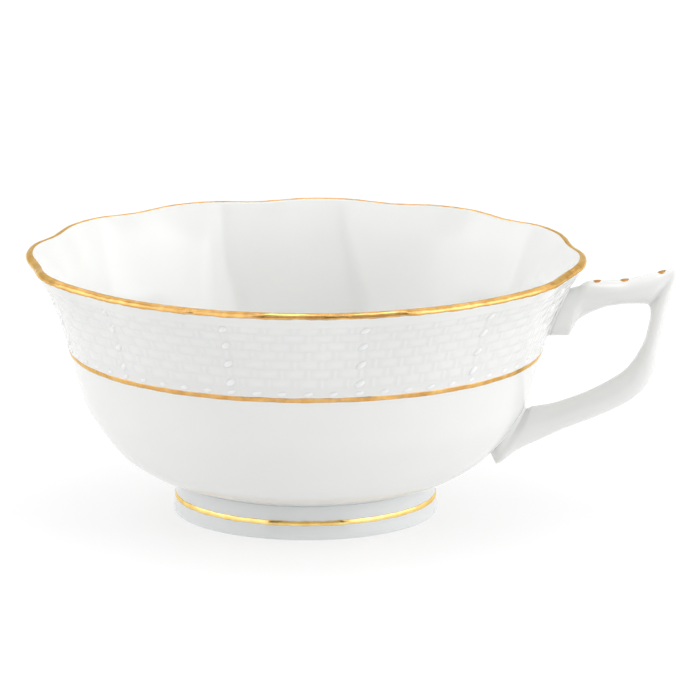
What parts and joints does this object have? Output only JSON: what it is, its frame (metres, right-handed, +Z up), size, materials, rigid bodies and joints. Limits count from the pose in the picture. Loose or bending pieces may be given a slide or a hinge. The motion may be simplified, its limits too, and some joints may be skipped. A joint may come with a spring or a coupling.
{
  "type": "teacup",
  "caption": "Wide porcelain teacup with a lobed, flared, gilded lip, a tall foot ring and an ear-shaped handle with a pointed thumb rest.",
  "frame": {"origin": "centre of the circle that the foot ring stands on", "axes": "+Z up out of the cup, +X towards the handle"},
  "size_m": [0.1256, 0.1082, 0.0506],
  "materials": {
    "body_porcelain": "clear glaze over white porcelain",
    "foot_porcelain": "clear glaze, with a bare ground rest face",
    "handle_porcelain": "clear glaze",
    "slip": "glazed over",
    "gold": "burnished gilding"
  },
  "bodies": {
    "root": {"bowl": "body_porcelain", "foot_ring": "foot_porcelain", "handle": "handle_porcelain", "foot_slip": "slip", "upper_handle_slip": "slip", "lower_handle_slip": "slip", "rim_gilding": "gold", "body_line_gilding": "gold", "foot_line_gilding": "gold", "handle_gilding": "gold"}
  },
  "joints": []
}
